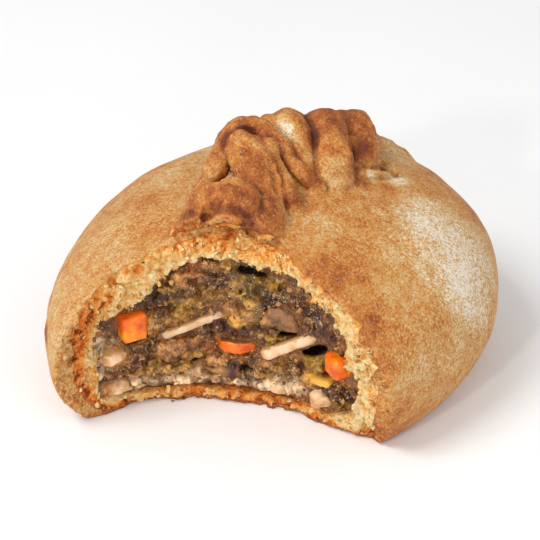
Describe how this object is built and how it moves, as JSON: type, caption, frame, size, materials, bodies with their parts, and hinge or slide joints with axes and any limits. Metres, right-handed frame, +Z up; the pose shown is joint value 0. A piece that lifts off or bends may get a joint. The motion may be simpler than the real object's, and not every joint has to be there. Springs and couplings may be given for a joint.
{
  "type": "cornish pasty",
  "caption": "Domed shortcrust pasty with a rope crimp along its top, bitten at one end so that the meat and vegetable filling shows.",
  "frame": {"origin": "on the table under the middle of the pasty's box", "axes": "+Y along the crimp, away from the bitten end; +X to the right; +Z up"},
  "size_m": [0.098, 0.1106, 0.06],
  "materials": {
    "pastry": "baked shortcrust pastry, matt golden tan, browner on the crimp, pale at the flanks",
    "filling": "moist cooked minced beef, potato and swede, olive brown, glossy",
    "carrot": "cooked carrot, moist, bright orange",
    "potato": "cooked potato, moist, cream",
    "beef": "cooked beef, moist, dark purple brown",
    "swede": "cooked swede, moist, yellow"
  },
  "bodies": {
    "root": {"crust": "pastry", "filling": "filling", "carrot_left": "carrot", "carrot_middle": "carrot", "carrot_right": "carrot", "swede_strip": "swede", "potato_slice_left": "potato", "potato_slice_right": "potato", "potato_wall": "potato", "potato_lower_left": "potato", "potato_lower_middle": "potato", "potato_lower_right": "potato", "potato_corner": "potato", "beef_upper": "beef", "beef_lower": "beef"}
  },
  "joints": []
}
